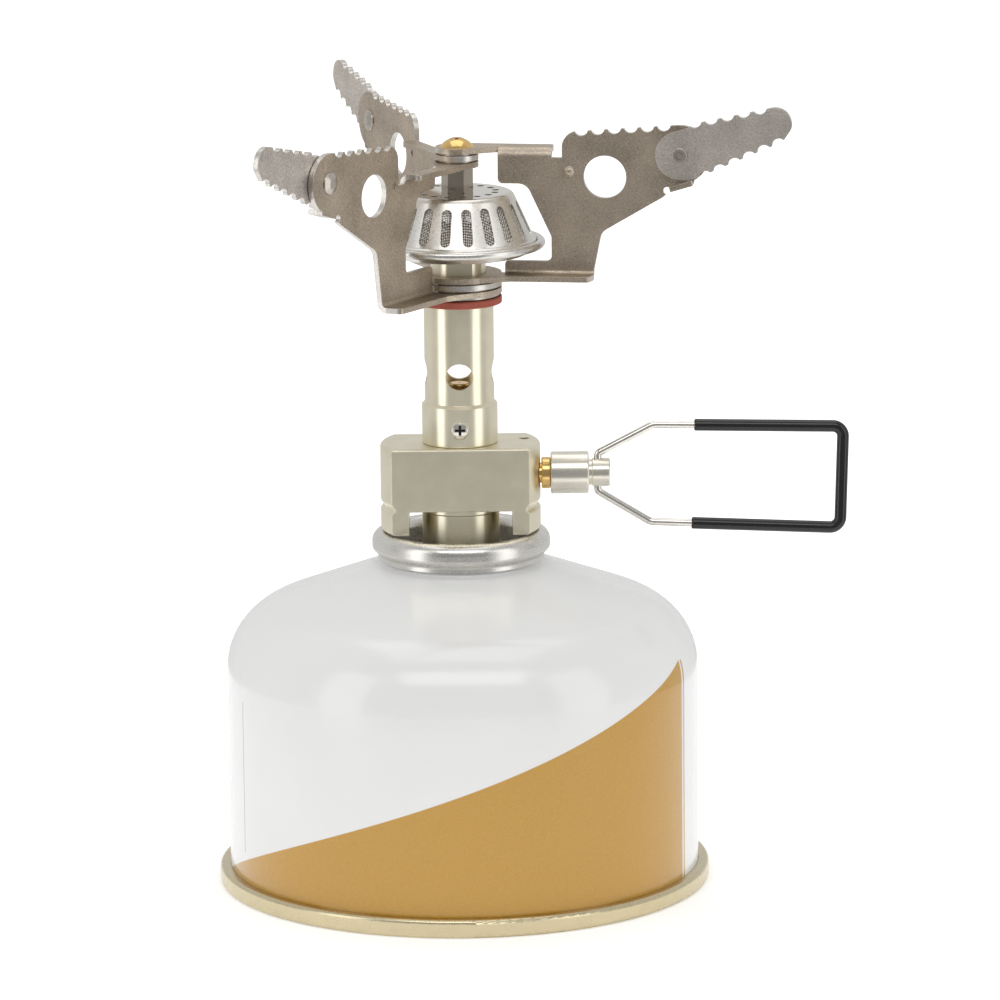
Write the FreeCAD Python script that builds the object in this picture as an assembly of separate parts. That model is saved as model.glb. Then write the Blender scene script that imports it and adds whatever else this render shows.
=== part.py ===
"""Canister stove on its gas canister, upright, millimetres.

The origin is the centre of the canister's base plane.  +Z is up and +X runs along the
valve spindle towards the wire handle.  Every separate piece is written to its own file.
"""
import FreeCAD
import Part

import math
import os

# ---------------------------------------------------------------- driving dimensions
# Gas canister
SEAM_RADIUS = 45.0            # outside of the bottom double seam
SEAM_HEIGHT = 3.45
BODY_RADIUS = 43.1            # outside of the drawn shell
SHELL_SHEET = 0.5
SHOULDER_RADIUS = 13.0        # rounding between wall and sloping top
SHOULDER_CORNER = 49.06       # height where wall and top would meet unrounded
TOP_SLOPE = 0.372             # rise of the top per millimetre towards the middle
BASE_DOME = 9.0               # height of the inward dome in the base
CUP_BEAD_RADIUS = 14.3        # centre line of the rolled rim round the valve cup
CUP_BEAD_SECTION = 1.97       # half thickness of that rolled rim
CUP_BEAD_HEIGHT = 63.45
CUP_SHEET = 0.35
CUP_FLOOR = 57.8
VALVE_THREAD_RADIUS = 5.45    # 7/16-28 UNEF boss, taken at its crest
VALVE_BOSS_TOP = 66.5
GASKET_THICK = 1.0
VALVE_TRAVEL = 1.2            # how far the push pin holds the valve open

# Valve block
BLOCK_RADIUS = 14.6
BLOCK_HALF_DEPTH = 7.5        # the two milled flats
BLOCK_BOTTOM = 65.65
BLOCK_TOP = 81.6
SLOT_HALF_WIDTH = 9.4
SLOT_CEILING = 70.0
SOCKET_RADIUS = 7.05
SOCKET_BOTTOM = 59.6
SPINDLE_HEIGHT = 75.6         # height of the needle spindle's axis
SPINDLE_RADIUS = 1.5
KNOB_RADIUS = 3.87
KNOB_START = 16.45
KNOB_END = 23.4
STUB_RADIUS = 2.6
STUB_END = 27.3
HANDLE_PIVOT = 25.05          # distance of the handle's pivot from the stove's axis
HANDLE_END = 69.6             # distance of the loop's far side
WIRE_RADIUS = 0.7
SLEEVE_RADIUS = 1.1
SLEEVE_START = 42.4
SLEEVE_END_ROUNDING = 0.3

# Column
COLLAR_RADIUS = 6.9
COLLAR_TOP = 88.8
TUBE_RADIUS = 6.35
TUBE_BORE = 5.25
TUBE_TOP = 107.4
AIR_HOLE_RADIUS = 2.45
AIR_HOLE_HEIGHT = 94.6
AIR_HOLE_COUNT = 4
STEM_RADIUS = 5.0
STEM_FLAT = 4.46              # half distance over the two flats
STEM_TURN = 3.5               # degrees that the two flats are turned about the column
STEM_TOP = 116.5
FIBRE_THICK = 1.3
WAVE_THICK = 0.6

# Burner head
LIP_RADIUS = 15.87            # outside of the rolled lip
LIP_SECTION = 0.8
LIP_HEIGHT = 118.4
CAP_TOP = 127.8
CAP_TOP_RADIUS = 10.0         # where the cone meets the flat top, before rounding
CAP_FOOT_RADIUS = 13.75
CAP_SHEET = 0.4
FLAME_SLOT_COUNT = 20
FLAME_SLOT_WIDTH = 1.8
TOP_HOLE_COUNT = 16
TOP_HOLE_RADIUS = 0.65
TOP_HOLE_RING = 7.0
STANDOFF_FLATS = 5.0
STANDOFF_TURN = -6.0           # degrees that its flats are turned about the column
STANDOFF_TOP = 132.0
TOP_SCREW_RADIUS = 3.07

# Pot support arms
SHEET = 1.0                   # titanium sheet of the arms and leaves
ARM_ANGLES = {"a": -8.0, "b": 113.1, "c": 236.2}
ARM_STACK = {"a": 2, "b": 1, "c": 0}
FOOT_SIDE = {"a": -1, "b": -1, "c": 1}
RING_GAP = 0.33               # room for one thin washer between two arm rings
ARM_HEIGHT = 24.04            # underside of the foot ring to upper face of the top ring
FACE_LEFT = 0.24              # the web's two faces, measured from the radial line
BEND_RADIUS = 1.8
FOOT_RING_RADIUS = 7.9
TOP_RING_RADIUS = 3.9
FOOT_INNER = 8.7
FOOT_OUTER = 24.9
TAB_INNER = 7.5
TAB_OUTER = 17.3
TAB_REACH = 3.5               # free edge of the tabs, measured from the radial line
RIVET_PLACE = (40.66, 135.08)
RIVET_RADIUS = 1.1
EYE_RADIUS = 5.3              # end of the arm round the rivet
LEAF_EYE_RADIUS = 4.4
LEAF_GAP = 0.1
TOOTH_PITCH = 3.0
TOOTH_COUNT = 6
LIGHTENING_HOLE = (26.99, 130.84, 3.875)
DETENT_PLACE = (20.43, 131.77)
DETENT_RADIUS = 0.95
DETENT_PUNCH = 0.6

# Clearances
RUNNING = 0.1                 # radial room round parts that turn or slide
SEATED = 0.05                 # radial room round parts that are only put together
FACE_ROOM = 0.02              # room on each side of a thin washer

NODES = {}


# ---------------------------------------------------------------- shape helpers
def vec(x, y, z):
    return FreeCAD.Vector(x, y, z)


def keep(name, *shapes):
    """Store one node; several shapes stay separate solids of that node."""
    solids = [solid for shape in shapes for solid in shape.Solids]
    NODES[name] = solids[0] if len(solids) == 1 else Part.makeCompound(solids)


def corner_arc(before, corner, after):
    """Tangent points and middle of the arc that rounds a corner, as (x, z) pairs."""
    x, z, radius = corner
    to_before = FreeCAD.Vector(before[0] - x, before[1] - z, 0).normalize()
    to_after = FreeCAD.Vector(after[0] - x, after[1] - z, 0).normalize()
    half = to_before.getAngle(to_after) / 2
    reach = radius / math.tan(half)
    inward = (to_before + to_after).normalize()
    depth = radius / math.sin(half) - radius
    place = FreeCAD.Vector(x, z, 0)
    return place + to_before * reach, place + inward * depth, place + to_after * reach


def face_from(corners):
    """Face in the XZ plane; a corner is (x, z) or (x, z, rounding radius)."""
    corners = [tuple(corner) + (0,) * (3 - len(corner)) for corner in corners]
    edges = []
    ends = []
    for index, corner in enumerate(corners):
        before = corners[index - 1]
        after = corners[(index + 1) % len(corners)]
        if corner[2] > 0:
            ends.append(corner_arc(before, corner, after))
        else:
            place = FreeCAD.Vector(corner[0], corner[1], 0)
            ends.append((place, place, place))
    flat = [[vec(point.x, 0, point.y) for point in triple] for triple in ends]
    for index, (start, middle, finish) in enumerate(flat):
        if (finish - start).Length > 1e-6:
            edges.append(Part.Arc(start, middle, finish).toShape())
        following = flat[(index + 1) % len(flat)][0]
        if (following - finish).Length > 1e-6:
            edges.append(Part.LineSegment(finish, following).toShape())
    return Part.Face(Part.Wire(edges))


def strip(path, thickness):
    """Corners of a sheet of even thickness whose extra face lies left of the path."""
    path = [tuple(corner) + (0,) * (3 - len(corner)) for corner in path]
    other_side = []
    for index, (x, z, radius) in enumerate(path):
        normals = []
        for first, second in ((index - 1, index), (index, index + 1)):
            if 0 <= first and second < len(path):
                run = FreeCAD.Vector(path[second][0] - path[first][0],
                                     path[second][1] - path[first][1], 0).normalize()
                normals.append(FreeCAD.Vector(-run.y, run.x, 0))
        mitre = normals[0] + normals[-1]
        mitre = mitre * (2 * thickness / mitre.dot(mitre))
        turns_left = normals[0].cross(normals[-1]).z > 0
        inner = radius - thickness if turns_left else radius + thickness
        other_side.append((x + mitre.x, z + mitre.y, max(inner, 0) if radius else 0))
    return path + other_side[::-1]


def turned(corners):
    """Solid of revolution about Z from an outline of (radius, height) corners."""
    return face_from(corners).revolve(vec(0, 0, 0), vec(0, 0, 1), 360)


def turned_x(corners):
    """Solid of revolution about the spindle's axis from (distance, radius) corners."""
    solid = face_from(corners).revolve(vec(0, 0, 0), vec(1, 0, 0), 360)
    solid.translate(vec(0, 0, SPINDLE_HEIGHT))
    return solid


def ring(inner, outer, low, high):
    return turned([(inner, low), (outer, low), (outer, high), (inner, high)])


def cylinder(radius, low, high, x=0, y=0):
    return Part.makeCylinder(radius, high - low, vec(x, y, low))


def cylinder_x(radius, start, end, z=SPINDLE_HEIGHT):
    return Part.makeCylinder(radius, end - start, vec(start, 0, z), vec(1, 0, 0))


def slab(x0, x1, y0, y1, z0, z1):
    return Part.makeBox(x1 - x0, y1 - y0, z1 - z0, vec(x0, y0, z0))


def hexagon(across_flats, low, high):
    radius = across_flats / math.sqrt(3)
    corners = [vec(radius * math.cos(math.radians(60 * i)),
                   radius * math.sin(math.radians(60 * i)), low) for i in range(7)]
    return Part.Face(Part.makePolygon(corners)).extrude(vec(0, 0, high - low))


def ball(radius, x, y, z):
    return Part.makeSphere(radius, vec(x, y, z))


def round_z(shape, degrees):
    copy = shape.copy()
    copy.rotate(vec(0, 0, 0), vec(0, 0, 1), degrees)
    return copy


def swept_rod(corners, radius):
    """Round rod along a path in the XZ plane whose inner corners are rounded."""
    points = [FreeCAD.Vector(x, z, 0) for x, z, bend in corners]
    edges = []
    last = points[0]
    for index in range(1, len(corners) - 1):
        start, middle, finish = corner_arc(corners[index - 1], corners[index], corners[index + 1])
        edges.append(Part.LineSegment(vec(last.x, 0, last.y), vec(start.x, 0, start.y)).toShape())
        arc = Part.Arc(vec(start.x, 0, start.y), vec(middle.x, 0, middle.y),
                       vec(finish.x, 0, finish.y))
        edges.append(arc.toShape())
        last = finish
    end = points[-1]
    edges.append(Part.LineSegment(vec(last.x, 0, last.y), vec(end.x, 0, end.y)).toShape())
    path = Part.Wire(edges)
    first = path.Edges[0]
    start = vec(points[0].x, 0, points[0].y)
    section = Part.Wire(Part.Circle(start, first.tangentAt(first.FirstParameter), radius).toShape())
    return path.makePipeShell([section], True, False)


def cross_recess(depth, half_length, half_width, height):
    """Cutter for a cross recess that opens upwards at the given height."""
    arm_x = slab(-half_length, half_length, -half_width, half_width, height - depth, height + 1)
    arm_y = slab(-half_width, half_width, -half_length, half_length, height - depth, height + 1)
    return arm_x.fuse(arm_y)


# ---------------------------------------------------------------- gas canister
BEAD_INSIDE = CUP_BEAD_SECTION - CUP_SHEET - 0.12
NECK_RADIUS = CUP_BEAD_RADIUS + 0.25
CUP_WALL = CUP_BEAD_RADIUS - CUP_BEAD_SECTION
BOSS_WALL = 0.55
SEAT_TOP = VALVE_BOSS_TOP - BOSS_WALL
GASKET_BOTTOM = SEAT_TOP - GASKET_THICK
HOUSING_RADIUS = VALVE_THREAD_RADIUS - BOSS_WALL - SEATED
HOUSING_BOTTOM = CUP_FLOOR - 7.8
PIN_TIP = GASKET_BOTTOM - 0.1
PIN_FLANGE_TOP = GASKET_BOTTOM - VALVE_TRAVEL - 0.1
PIN_FLANGE_THICK = 1.2


def canister_shell():
    neck_corner = SHOULDER_CORNER + TOP_SLOPE * (BODY_RADIUS - NECK_RADIUS)
    path = [(BODY_RADIUS, 1.1), (BODY_RADIUS, SHOULDER_CORNER, SHOULDER_RADIUS),
            (NECK_RADIUS, neck_corner, 1.2), (NECK_RADIUS, CUP_BEAD_HEIGHT - 0.6)]
    wall = turned(strip(path, SHELL_SHEET))
    bead = Part.makeTorus(CUP_BEAD_RADIUS, BEAD_INSIDE, vec(0, 0, CUP_BEAD_HEIGHT))
    keep("canister_shell", wall.fuse(bead).removeSplitter())


def canister_base():
    groove_outer = BODY_RADIUS + SEATED
    groove_inner = BODY_RADIUS - SHELL_SHEET - SEATED
    inner_leg = groove_inner - SHELL_SHEET
    keep("canister_base", turned([
        (0, BASE_DOME - SHELL_SHEET), (22, BASE_DOME - SHELL_SHEET, 60),
        (inner_leg, 2.4, 0.8), (inner_leg, 0, 0.4), (SEAM_RADIUS, 0, 0.9),
        (SEAM_RADIUS, SEAM_HEIGHT, 0.8), (groove_outer, SEAM_HEIGHT), (groove_outer, 1.0),
        (groove_inner, 1.0), (groove_inner, 3.0, 0.5), (22, BASE_DOME, 60), (0, BASE_DOME)]))


def valve_cup():
    skirt = CUP_BEAD_RADIUS + 0.9
    bead_outside = CUP_BEAD_RADIUS + CUP_BEAD_SECTION
    bead_top = CUP_BEAD_HEIGHT + CUP_BEAD_SECTION
    path = [(skirt, CUP_BEAD_HEIGHT - 3.2), (skirt, CUP_BEAD_HEIGHT - 2.3, 0.5),
            (bead_outside, CUP_BEAD_HEIGHT - 1.3, 0.9),
            (bead_outside, bead_top, CUP_BEAD_SECTION),
            (CUP_WALL, bead_top, CUP_BEAD_SECTION), (CUP_WALL, CUP_FLOOR, 1.2),
            (VALVE_THREAD_RADIUS, CUP_FLOOR, 0.6), (VALVE_THREAD_RADIUS, VALVE_BOSS_TOP - 1.5)]
    sheet = turned(strip(path, CUP_SHEET))
    boss = turned([(VALVE_THREAD_RADIUS - BOSS_WALL, CUP_FLOOR - 0.2),
                   (VALVE_THREAD_RADIUS, CUP_FLOOR - 0.2),
                   (VALVE_THREAD_RADIUS, VALVE_BOSS_TOP, 0.5), (1.75, VALVE_BOSS_TOP),
                   (1.75, SEAT_TOP), (VALVE_THREAD_RADIUS - BOSS_WALL, SEAT_TOP)])
    keep("valve_cup", sheet.fuse(boss).removeSplitter())


def canister_valve():
    """Housing, gasket, pin and spring that sit under the threaded boss."""
    bore = HOUSING_RADIUS - 1.5
    housing = turned([(0.8, HOUSING_BOTTOM), (HOUSING_RADIUS, HOUSING_BOTTOM, 0.6),
                      (HOUSING_RADIUS, GASKET_BOTTOM), (bore, GASKET_BOTTOM),
                      (bore, HOUSING_BOTTOM + 2), (0.8, HOUSING_BOTTOM + 2)])
    keep("valve_housing", housing)
    keep("valve_gasket", ring(1.6, HOUSING_RADIUS, GASKET_BOTTOM, SEAT_TOP))
    flange_radius = bore - 0.4
    keep("valve_pin", turned([(0, PIN_FLANGE_TOP - PIN_FLANGE_THICK - 2),
                              (0.9, PIN_FLANGE_TOP - PIN_FLANGE_THICK - 2, 0.3),
                              (0.9, PIN_FLANGE_TOP - PIN_FLANGE_THICK),
                              (flange_radius, PIN_FLANGE_TOP - PIN_FLANGE_THICK),
                              (flange_radius, PIN_FLANGE_TOP, 0.3), (1.3, PIN_FLANGE_TOP),
                              (1.3, PIN_TIP, 0.2), (0, PIN_TIP)]))
    wire = 0.25
    low = HOUSING_BOTTOM + 2 + wire
    high = PIN_FLANGE_TOP - PIN_FLANGE_THICK - wire - SEATED
    coils = 6
    mean = 1.9
    turns = [Part.makeTorus(mean, wire, vec(0, 0, low + (high - low) * i / (coils - 1)))
             for i in range(coils)]
    rise = (high - low) / (coils - 1)
    links = [cylinder(wire * 0.8, low + rise * i, low + rise * (i + 1), x=mean * (-1) ** i)
             for i in range(coils - 1)]
    spring = turns[0].multiFuse(turns[1:] + links)
    keep("valve_spring", spring)


# ---------------------------------------------------------------- valve block and inlet
SOCKET_BORE = VALVE_THREAD_RADIUS + RUNNING
SEAL_SECTION = 0.85
SEAL_RING = 3.7
SEAL_TOP = VALVE_BOSS_TOP + 2 * SEAL_SECTION + 0.1
SOCKET_SPIGOT = 5.0
SPIGOT_TOP = SLOT_CEILING + 2.4
INLET_RADIUS = 2.9
PUSH_PIN_RADIUS = 1.9
SEAT_END = 1.2                # the needle's seat ends here, measured along X
CHAMBER_RADIUS = SPINDLE_RADIUS + RUNNING
GLAND_RADIUS = 2.6
GLAND_START = 9.5
GLAND_PIN_PLACE = (11.7, 2.3)
GLAND_PIN_RADIUS = 0.95
HOLDER_SHANK = 2.0
HOLDER_BOTTOM = BLOCK_TOP + 2.4
JET_SEAT = COLLAR_TOP - 0.8
SPIGOT_RADIUS = TUBE_BORE - SEATED
COLLAR_SCREW_HEIGHT = 84.9
COLLAR_SCREW_HEAD = 1.6
COLLAR_SCREW_SHANK = 1.05
COLLAR_SCREW_TIP = SPIGOT_RADIUS - 1.6


def valve_block():
    body = turned([(0, BLOCK_BOTTOM), (BLOCK_RADIUS, BLOCK_BOTTOM, 0.6),
                   (BLOCK_RADIUS, 69.5), (BLOCK_RADIUS - 0.6, 70.1), (BLOCK_RADIUS - 0.6, 70.3),
                   (BLOCK_RADIUS, 71.3), (BLOCK_RADIUS, BLOCK_TOP, 0.7), (0, BLOCK_TOP)])
    chamfer = 0.3
    half = BLOCK_HALF_DEPTH
    section = Part.Face(Part.makePolygon([
        vec(0, -half, BLOCK_BOTTOM), vec(0, half, BLOCK_BOTTOM), vec(0, half, BLOCK_TOP - chamfer),
        vec(0, half - chamfer, BLOCK_TOP), vec(0, chamfer - half, BLOCK_TOP),
        vec(0, -half, BLOCK_TOP - chamfer), vec(0, -half, BLOCK_BOTTOM)]))
    section.translate(vec(-BLOCK_RADIUS - 1, 0, 0))
    body = body.common(section.extrude(vec(2 * BLOCK_RADIUS + 2, 0, 0)))
    slot = slab(-SLOT_HALF_WIDTH, SLOT_HALF_WIDTH, -half - 1, half + 1,
                BLOCK_BOTTOM - 1, SLOT_CEILING)
    spigot = turned([(0, BLOCK_TOP - 1), (SPIGOT_RADIUS, BLOCK_TOP - 1),
                     (SPIGOT_RADIUS, JET_SEAT, 0.3), (0, JET_SEAT)])
    body = body.cut(slot).fuse(spigot)
    cuts = [cylinder(SOCKET_SPIGOT + SEATED, SLOT_CEILING - 1, SPIGOT_TOP + 0.1),
            cylinder(0.7, SPIGOT_TOP, SPINDLE_HEIGHT, x=SEAT_END + 1.2),
            cylinder_x(CHAMBER_RADIUS, SEAT_END, BLOCK_RADIUS),
            cylinder_x(GLAND_RADIUS + SEATED, GLAND_START - 0.1, BLOCK_RADIUS + 1),
            cylinder_x(0.6, -0.5, SEAT_END + 0.5),
            cylinder(0.9, SPINDLE_HEIGHT, JET_SEAT),
            cylinder(HOLDER_SHANK + SEATED, HOLDER_BOTTOM - 0.1, JET_SEAT + 1),
            cylinder(GLAND_PIN_RADIUS, SPINDLE_HEIGHT + GLAND_RADIUS + 0.2, BLOCK_TOP + 1,
                     *GLAND_PIN_PLACE)]
    for side in (-1, 1):
        start = vec(0, side * (COLLAR_SCREW_TIP - 0.1), COLLAR_SCREW_HEIGHT)
        cuts.append(Part.makeCylinder(COLLAR_SCREW_SHANK + SEATED, 4, start, vec(0, side, 0)))
    keep("valve_block", body.cut(cuts[0].multiFuse(cuts[1:])).removeSplitter())


def canister_socket():
    floor = SEAL_TOP + 0.1
    keep("canister_socket", turned([
        (SOCKET_BORE, SOCKET_BOTTOM), (SOCKET_RADIUS, SOCKET_BOTTOM, 0.3),
        (SOCKET_RADIUS, SLOT_CEILING - 1.0), (SOCKET_RADIUS + 0.25, SLOT_CEILING - 0.8),
        (SOCKET_RADIUS + 0.25, SLOT_CEILING), (SOCKET_SPIGOT, SLOT_CEILING),
        (SOCKET_SPIGOT, SPIGOT_TOP), (INLET_RADIUS + SEATED, SPIGOT_TOP),
        (INLET_RADIUS + SEATED, SLOT_CEILING), (PUSH_PIN_RADIUS + SEATED, SLOT_CEILING),
        (PUSH_PIN_RADIUS + SEATED, floor), (SOCKET_BORE, floor)]))
    keep("socket_o_ring", Part.makeTorus(SEAL_RING, SEAL_SECTION,
                                         vec(0, 0, VALVE_BOSS_TOP + SEAL_SECTION + 0.05)))


def inlet_parts():
    flange_top = SLOT_CEILING + 1.2
    push_pin = turned([(0.45, PIN_TIP + 0.05), (1.3, PIN_TIP + 0.05, 0.2),
                       (1.3, SEAL_TOP - 0.6), (PUSH_PIN_RADIUS, SEAL_TOP + 0.1),
                       (PUSH_PIN_RADIUS, SLOT_CEILING + FACE_ROOM),
                       (INLET_RADIUS, SLOT_CEILING + FACE_ROOM), (INLET_RADIUS, flange_top),
                       (0.45, flange_top)])
    keep("push_pin", push_pin)
    keep("inlet_filter", cylinder(INLET_RADIUS, flange_top + FACE_ROOM, SPIGOT_TOP))


# ---------------------------------------------------------------- needle valve and handle
GLAND_NECK = 1.85
GLAND_FLANGE = 2.9
FLANGE_START = 14.8
FLANGE_END = 16.4
O_RING_PLACE = 10.7
O_RING_SECTION = 0.5
O_RING_GROOVE = 0.9
O_RING_MEAN = O_RING_GROOVE + O_RING_SECTION + 0.05
SPINDLE_END = KNOB_END - 0.5


def gland_nut():
    """Brass gland screwed into the block; the spindle runs through it."""
    ring_room = O_RING_MEAN + O_RING_SECTION + RUNNING
    keep("gland_nut", turned_x([
        (GLAND_START, ring_room), (GLAND_START, GLAND_RADIUS), (13.6, GLAND_RADIUS),
        (13.6, GLAND_NECK), (FLANGE_START, GLAND_NECK), (FLANGE_START, GLAND_FLANGE, 0.25),
        (FLANGE_END, GLAND_FLANGE, 0.25), (FLANGE_END, CHAMBER_RADIUS),
        (13.3, CHAMBER_RADIUS), (13.3, ring_room)]))
    pin_bottom = SPINDLE_HEIGHT + GLAND_RADIUS + 0.3
    keep("gland_pin", cylinder(GLAND_PIN_RADIUS - SEATED, pin_bottom, BLOCK_TOP - 1.0,
                               *GLAND_PIN_PLACE))


def needle_spindle():
    groove_half = O_RING_SECTION + SEATED
    keep("needle_spindle", turned_x([
        (SEAT_END - 0.2, 0), (SEAT_END - 0.2, 0.25), (SEAT_END + 0.8, 0.9), (5.0, 0.9),
        (5.4, SPINDLE_RADIUS), (O_RING_PLACE - groove_half, SPINDLE_RADIUS),
        (O_RING_PLACE - groove_half, O_RING_GROOVE), (O_RING_PLACE + groove_half, O_RING_GROOVE),
        (O_RING_PLACE + groove_half, SPINDLE_RADIUS), (SPINDLE_END, SPINDLE_RADIUS, 0.2),
        (SPINDLE_END, 0)]))
    seal = Part.makeTorus(O_RING_MEAN, O_RING_SECTION, vec(0, 0, 0))
    seal.rotate(vec(0, 0, 0), vec(0, 1, 0), 90)
    seal.translate(vec(O_RING_PLACE, 0, SPINDLE_HEIGHT))
    keep("spindle_o_ring", seal)


def control_knob():
    groove_end = KNOB_END + 0.6
    bore = SPINDLE_RADIUS + SEATED
    knob = turned_x([
        (KNOB_START, bore), (KNOB_START, KNOB_RADIUS, 0.3), (KNOB_END, KNOB_RADIUS, 0.35),
        (KNOB_END, STUB_RADIUS - 0.25), (groove_end, STUB_RADIUS - 0.25),
        (groove_end, STUB_RADIUS, 0.15), (STUB_END, STUB_RADIUS, 0.35), (STUB_END, 0),
        (SPINDLE_END + 0.1, 0), (SPINDLE_END + 0.1, bore)])
    cross_hole = cylinder(WIRE_RADIUS + SEATED, SPINDLE_HEIGHT - KNOB_RADIUS,
                          SPINDLE_HEIGHT + KNOB_RADIUS, x=HANDLE_PIVOT)
    keep("control_knob", knob.cut(cross_hole))


def hanging(x, height):
    """The loop hangs a little below the spindle's axis because its pivot is loose."""
    droop = math.radians(-1.8)
    reach = x - HANDLE_PIVOT
    return (HANDLE_PIVOT + reach * math.cos(droop) - height * math.sin(droop),
            SPINDLE_HEIGHT + reach * math.sin(droop) + height * math.cos(droop))


def handle():
    half_start = 9.05
    half_end = 9.45
    shoulder_x = 34.9
    root = 3.5
    loop_bend = 1.9
    start_share = (SLEEVE_START - shoulder_x) / (HANDLE_END - shoulder_x)
    half_sleeve = half_start + (half_end - half_start) * start_share
    upper = [(HANDLE_PIVOT, SPINDLE_HEIGHT + 0.9, 0), (HANDLE_PIVOT, SPINDLE_HEIGHT + root, 0.8),
             hanging(shoulder_x, half_start) + (2.6,), hanging(HANDLE_END, half_end) + (loop_bend,)]
    lower = [(HANDLE_PIVOT, SPINDLE_HEIGHT - 0.9, 0), (HANDLE_PIVOT, SPINDLE_HEIGHT - root, 0.8),
             hanging(shoulder_x, -half_start) + (2.6,),
             hanging(HANDLE_END, -half_end) + (loop_bend,)]
    keep("handle_wire", swept_rod(upper + lower[::-1], WIRE_RADIUS))
    loop = [hanging(SLEEVE_START, half_sleeve) + (0,), upper[-1], lower[-1],
            hanging(SLEEVE_START, -half_sleeve) + (0,)]
    sleeve = swept_rod(loop, SLEEVE_RADIUS)
    rims = [edge for edge in sleeve.Edges if edge.isClosed() and edge.Length > SLEEVE_RADIUS * 6
            and edge.BoundBox.XMax < SLEEVE_START + SLEEVE_RADIUS]
    sleeve = sleeve.makeFillet(SLEEVE_END_ROUNDING, rims)
    keep("handle_sleeve", sleeve.cut(swept_rod(loop, WIRE_RADIUS + SEATED)))


# ---------------------------------------------------------------- column
JET_HOLDER_TOP = JET_SEAT + 3.2
JET_TOP = JET_HOLDER_TOP + 1.3
STEM_SPIGOT = 4.6
STEM_BORE = 3.4
STEM_BOTTOM = TUBE_TOP - 7.5
STEM_NECK = 4.2
FIBRE_TOP = TUBE_TOP + FIBRE_THICK
FIRST_RING = FIBRE_TOP + WAVE_THICK + 0.04
RING_STEP = SHEET + RING_GAP
KEYED_RING = FIRST_RING + 2 * RING_STEP
STEM_ROOM = STEM_RADIUS + RUNNING


def mixing_tube():
    neck_low = STEM_BOTTOM - 1.0
    tube = turned([
        (TUBE_BORE, BLOCK_TOP), (COLLAR_RADIUS, BLOCK_TOP, 0.3), (COLLAR_RADIUS, COLLAR_TOP),
        (TUBE_RADIUS, COLLAR_TOP + 0.55), (TUBE_RADIUS, TUBE_TOP, 0.25),
        (STEM_SPIGOT + SEATED, TUBE_TOP), (STEM_SPIGOT + SEATED, neck_low + 0.6),
        (TUBE_BORE, neck_low)])
    cuts = []
    for index in range(AIR_HOLE_COUNT):
        turn = math.radians(360.0 * index / AIR_HOLE_COUNT)
        out = vec(math.cos(turn), math.sin(turn), 0)
        cuts.append(Part.makeCylinder(AIR_HOLE_RADIUS, 10, vec(0, 0, AIR_HOLE_HEIGHT), out))
    for side in (-1, 1):
        cuts.append(Part.makeCylinder(COLLAR_SCREW_HEAD + SEATED, 10,
                                      vec(0, 0, COLLAR_SCREW_HEIGHT), vec(0, side, 0)))
    keep("mixing_tube", tube.cut(cuts[0].multiFuse(cuts[1:])))


def collar_screws():
    """Two recessed screws that hold the mixing tube on the block's spigot."""
    screws = []
    head_face = COLLAR_RADIUS - 0.1
    dome = 3.2
    for side in (-1, 1):
        screw = turned([(0, COLLAR_SCREW_TIP), (COLLAR_SCREW_SHANK, COLLAR_SCREW_TIP, 0.2),
                        (COLLAR_SCREW_SHANK, SPIGOT_RADIUS + SEATED),
                        (COLLAR_SCREW_HEAD, SPIGOT_RADIUS + SEATED),
                        (COLLAR_SCREW_HEAD, head_face), (0, head_face)])
        screw = screw.common(ball(dome, 0, 0, head_face - dome))
        screw = screw.cut(cross_recess(0.8, 0.95, 0.24, head_face))
        screw.rotate(vec(0, 0, 0), vec(1, 0, 0), 90 if side < 0 else -90)
        screw.translate(vec(0, 0, COLLAR_SCREW_HEIGHT))
        screws.append(screw)
    keep("collar_screws", *screws)


def jet_parts():
    bore = 1.2
    jet_low = JET_HOLDER_TOP - 2.2
    holder = turned([
        (0.9, HOLDER_BOTTOM), (HOLDER_SHANK, HOLDER_BOTTOM, 0.2), (HOLDER_SHANK, JET_SEAT),
        (4.3, JET_SEAT), (4.3, JET_HOLDER_TOP, 0.4), (bore + SEATED, JET_HOLDER_TOP),
        (bore + SEATED, jet_low - 0.1), (0.9, jet_low - 0.1)])
    keep("jet_holder", holder)
    keep("jet", turned([(0.5, jet_low), (bore, jet_low), (bore, JET_HOLDER_TOP),
                        (1.9, JET_HOLDER_TOP), (1.9, JET_TOP, 0.3), (0.2, JET_TOP),
                        (0.2, JET_TOP - 0.8), (0.5, JET_TOP - 1.2)]))


def flatted(shape, half_width, low, high, turn):
    """Cut two flats on a round stem between two heights, turned by some degrees."""
    for side in (-1, 1):
        near = half_width if side > 0 else -half_width - 5
        shape = shape.cut(round_z(slab(-10, 10, near, near + 5, low, high), turn))
    return shape


def burner_stem():
    stem = turned([
        (STEM_BORE, STEM_BOTTOM), (STEM_SPIGOT, STEM_BOTTOM), (STEM_SPIGOT, TUBE_TOP),
        (STEM_RADIUS, TUBE_TOP), (STEM_RADIUS, STEM_TOP), (STEM_NECK, STEM_TOP),
        (STEM_NECK, STEM_TOP + 1.4, 0.3), (STEM_BORE, STEM_TOP + 1.4)])
    keep("burner_stem", flatted(stem, STEM_FLAT, KEYED_RING, STEM_TOP, STEM_TURN))


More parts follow.
